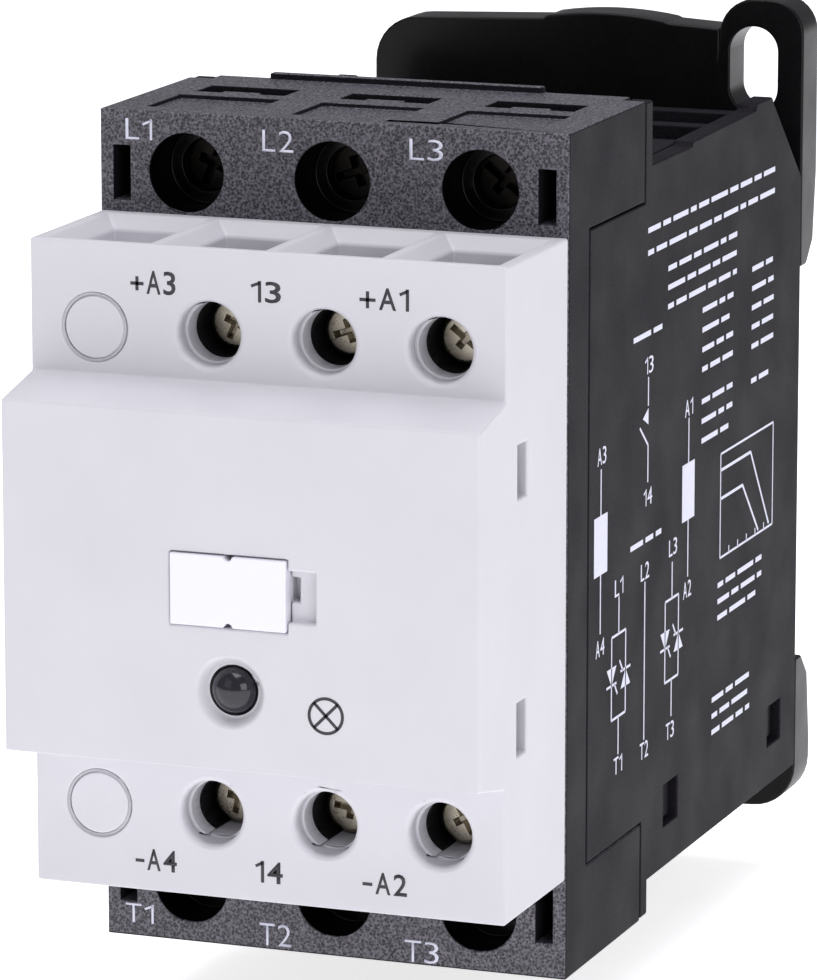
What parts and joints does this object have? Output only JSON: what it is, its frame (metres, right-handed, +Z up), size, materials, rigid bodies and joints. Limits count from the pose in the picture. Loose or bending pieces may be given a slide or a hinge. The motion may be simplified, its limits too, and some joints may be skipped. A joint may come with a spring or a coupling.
{
  "type": "solid state relay",
  "caption": "Rail-mounted three-pole solid state relay with a stepped front cover, screw clamps at both ends, a status lens and a sprung rail latch.",
  "frame": {"origin": "on the rail seat at the rail's centre line, in the middle of the width", "axes": "+Z up, +X to the right as seen from the front, front faces -Y, the rail lies behind the seat along X"},
  "size_m": [0.045, 0.0984, 0.0886],
  "materials": {
    "black_moulding": "spark-eroded satin",
    "rail_plate_moulding": "satin",
    "latch_moulding": "satin",
    "white_moulding": "fine satin",
    "label_plastic": "satin",
    "smoke_lens": "polished",
    "led_package": "gloss",
    "circuit_board": "solder mask",
    "black_epoxy": "matte",
    "relay_case": "satin",
    "capacitor_sleeve": "gloss",
    "tinned_copper": "bright",
    "tin_plate": "bright",
    "nickel_screw": "nickel plated",
    "copper": "satin",
    "silicone_pad": "matte",
    "anodised_aluminium": "black anodised",
    "zinc_steel": "zinc plated",
    "spring_steel": "drawn"
  },
  "bodies": {
    "case": {"base_shell": "black_moulding", "rear_plate": "rail_plate_moulding", "terminal_housing": "black_moulding", "front_cover": "white_moulding", "led_lens": "smoke_lens", "status_led": "led_package", "control_board": "circuit_board", "optocouplers": "black_epoxy", "alarm_relay": "relay_case", "board_capacitors": "capacitor_sleeve", "gate_leads": "tinned_copper", "control_terminal_blocks": "black_moulding", "control_contacts": "tin_plate", "outer_pole_busbars": "copper", "middle_pole_busbar": "copper", "module_case": "black_epoxy", "module_baseplate": "copper", "thermal_pad": "silicone_pad", "heat_sink": "anodised_aluminium", "module_screws": "zinc_steel", "latch_spring": "spring_steel"},
    "rail_latch": {"rail_latch": "latch_moulding"},
    "label_insert": {"label_insert": "label_plastic"},
    "line_screw_1": {"line_screw_1": "nickel_screw"},
    "line_cage_1": {"line_cage_1": "tin_plate"},
    "line_screw_2": {"line_screw_2": "nickel_screw"},
    "line_cage_2": {"line_cage_2": "tin_plate"},
    "line_screw_3": {"line_screw_3": "nickel_screw"},
    "line_cage_3": {"line_cage_3": "tin_plate"},
    "load_screw_1": {"load_screw_1": "nickel_screw"},
    "load_cage_1": {"load_cage_1": "tin_plate"},
    "load_screw_2": {"load_screw_2": "nickel_screw"},
    "load_cage_2": {"load_cage_2": "tin_plate"},
    "load_screw_3": {"load_screw_3": "nickel_screw"},
    "load_cage_3": {"load_cage_3": "tin_plate"},
    "upper_control_screw_1": {"upper_control_screw_1": "nickel_screw"},
    "upper_control_cage_1": {"upper_control_cage_1": "tin_plate"},
    "upper_control_screw_2": {"upper_control_screw_2": "nickel_screw"},
    "upper_control_cage_2": {"upper_control_cage_2": "tin_plate"},
    "upper_control_screw_3": {"upper_control_screw_3": "nickel_screw"},
    "upper_control_cage_3": {"upper_control_cage_3": "tin_plate"},
    "lower_control_screw_1": {"lower_control_screw_1": "nickel_screw"},
    "lower_control_cage_1": {"lower_control_cage_1": "tin_plate"},
    "lower_control_screw_2": {"lower_control_screw_2": "nickel_screw"},
    "lower_control_cage_2": {"lower_control_cage_2": "tin_plate"},
    "lower_control_screw_3": {"lower_control_screw_3": "nickel_screw"},
    "lower_control_cage_3": {"lower_control_cage_3": "tin_plate"}
  },
  "joints": [
    {"name": "latch_slide", "type": "slide", "parent": "case", "child": "rail_latch", "axis": [0, 0, -1], "range_m": [0, 0.004], "stiffness_N_per_m": 900, "springref_m": -0.002, "deforming": ["latch_spring"]},
    {"name": "label_pull", "type": "slide", "parent": "case", "child": "label_insert", "axis": [0, -1, 0], "range_m": [0, 0.006]},
    {"name": "line_cage_1_lift", "type": "slide", "parent": "case", "child": "line_cage_1", "axis": [0, -1, 0], "range_m": [0, 0.0014]},
    {"name": "line_screw_1_turn", "type": "hinge", "parent": "case", "child": "line_screw_1", "pos_m": [-0.0141, -0.061, 0.038], "axis": [0, 1, 0], "range_deg": [0, 721]},
    {"name": "line_cage_2_lift", "type": "slide", "parent": "case", "child": "line_cage_2", "axis": [0, -1, 0], "range_m": [0, 0.0014]},
    {"name": "line_screw_2_turn", "type": "hinge", "parent": "case", "child": "line_screw_2", "pos_m": [0, -0.061, 0.038], "axis": [0, 1, 0], "range_deg": [0, 721]},
    {"name": "line_cage_3_lift", "type": "slide", "parent": "case", "child": "line_cage_3", "axis": [0, -1, 0], "range_m": [0, 0.0014]},
    {"name": "line_screw_3_turn", "type": "hinge", "parent": "case", "child": "line_screw_3", "pos_m": [0.0141, -0.061, 0.038], "axis": [0, 1, 0], "range_deg": [0, 721]},
    {"name": "load_cage_1_lift", "type": "slide", "parent": "case", "child": "load_cage_1", "axis": [0, -1, 0], "range_m": [0, 0.0014]},
    {"name": "load_screw_1_turn", "type": "hinge", "parent": "case", "child": "load_screw_1", "pos_m": [-0.0141, -0.061, -0.0284], "axis": [0, 1, 0], "range_deg": [0, 721]},
    {"name": "load_cage_2_lift", "type": "slide", "parent": "case", "child": "load_cage_2", "axis": [0, -1, 0], "range_m": [0, 0.0014]},
    {"name": "load_screw_2_turn", "type": "hinge", "parent": "case", "child": "load_screw_2", "pos_m": [0, -0.061, -0.0284], "axis": [0, 1, 0], "range_deg": [0, 721]},
    {"name": "load_cage_3_lift", "type": "slide", "parent": "case", "child": "load_cage_3", "axis": [0, -1, 0], "range_m": [0, 0.0014]},
    {"name": "load_screw_3_turn", "type": "hinge", "parent": "case", "child": "load_screw_3", "pos_m": [0.0141, -0.061, -0.0284], "axis": [0, 1, 0], "range_deg": [0, 721]},
    {"name": "upper_control_cage_1_lift", "type": "slide", "parent": "case", "child": "upper_control_cage_1", "axis": [0, -1, 0], "range_m": [0, 0.00135]},
    {"name": "upper_control_screw_1_turn", "type": "hinge", "parent": "case", "child": "upper_control_screw_1", "pos_m": [-0.00543, -0.078, 0.0265], "axis": [0, 1, 0], "range_deg": [0, 1081]},
    {"name": "upper_control_cage_2_lift", "type": "slide", "parent": "case", "child": "upper_control_cage_2", "axis": [0, -1, 0], "range_m": [0, 0.00135]},
    {"name": "upper_control_screw_2_turn", "type": "hinge", "parent": "case", "child": "upper_control_screw_2", "pos_m": [0.00543, -0.078, 0.0265], "axis": [0, 1, 0], "range_deg": [0, 1081]},
    {"name": "upper_control_cage_3_lift", "type": "slide", "parent": "case", "child": "upper_control_cage_3", "axis": [0, -1, 0], "range_m": [0, 0.00135]},
    {"name": "upper_control_screw_3_turn", "type": "hinge", "parent": "case", "child": "upper_control_screw_3", "pos_m": [0.01628, -0.078, 0.0265], "axis": [0, 1, 0], "range_deg": [0, 1081]},
    {"name": "lower_control_cage_1_lift", "type": "slide", "parent": "case", "child": "lower_control_cage_1", "axis": [0, -1, 0], "range_m": [0, 0.00135]},
    {"name": "lower_control_screw_1_turn", "type": "hinge", "parent": "case", "child": "lower_control_screw_1", "pos_m": [-0.00543, -0.078, -0.0169], "axis": [0, 1, 0], "range_deg": [0, 1081]},
    {"name": "lower_control_cage_2_lift", "type": "slide", "parent": "case", "child": "lower_control_cage_2", "axis": [0, -1, 0], "range_m": [0, 0.00135]},
    {"name": "lower_control_screw_2_turn", "type": "hinge", "parent": "case", "child": "lower_control_screw_2", "pos_m": [0.00543, -0.078, -0.0169], "axis": [0, 1, 0], "range_deg": [0, 1081]},
    {"name": "lower_control_cage_3_lift", "type": "slide", "parent": "case", "child": "lower_control_cage_3", "axis": [0, -1, 0], "range_m": [0, 0.00135]},
    {"name": "lower_control_screw_3_turn", "type": "hinge", "parent": "case", "child": "lower_control_screw_3", "pos_m": [0.01628, -0.078, -0.0169], "axis": [0, 1, 0], "range_deg": [0, 1081]}
  ],
  "couplings": [
    {"joint": "line_screw_1_turn", "follows": "line_cage_1_lift", "rad_per_m": 8976},
    {"joint": "line_screw_2_turn", "follows": "line_cage_2_lift", "rad_per_m": 8976},
    {"joint": "line_screw_3_turn", "follows": "line_cage_3_lift", "rad_per_m": 8976},
    {"joint": "load_screw_1_turn", "follows": "load_cage_1_lift", "rad_per_m": 8976},
    {"joint": "load_screw_2_turn", "follows": "load_cage_2_lift", "rad_per_m": 8976},
    {"joint": "load_screw_3_turn", "follows": "load_cage_3_lift", "rad_per_m": 8976},
    {"joint": "upper_control_screw_1_turn", "follows": "upper_control_cage_1_lift", "rad_per_m": 13963},
    {"joint": "upper_control_screw_2_turn", "follows": "upper_control_cage_2_lift", "rad_per_m": 13963},
    {"joint": "upper_control_screw_3_turn", "follows": "upper_control_cage_3_lift", "rad_per_m": 13963},
    {"joint": "lower_control_screw_1_turn", "follows": "lower_control_cage_1_lift", "rad_per_m": 13963},
    {"joint": "lower_control_screw_2_turn", "follows": "lower_control_cage_2_lift", "rad_per_m": 13963},
    {"joint": "lower_control_screw_3_turn", "follows": "lower_control_cage_3_lift", "rad_per_m": 13963}
  ]
}
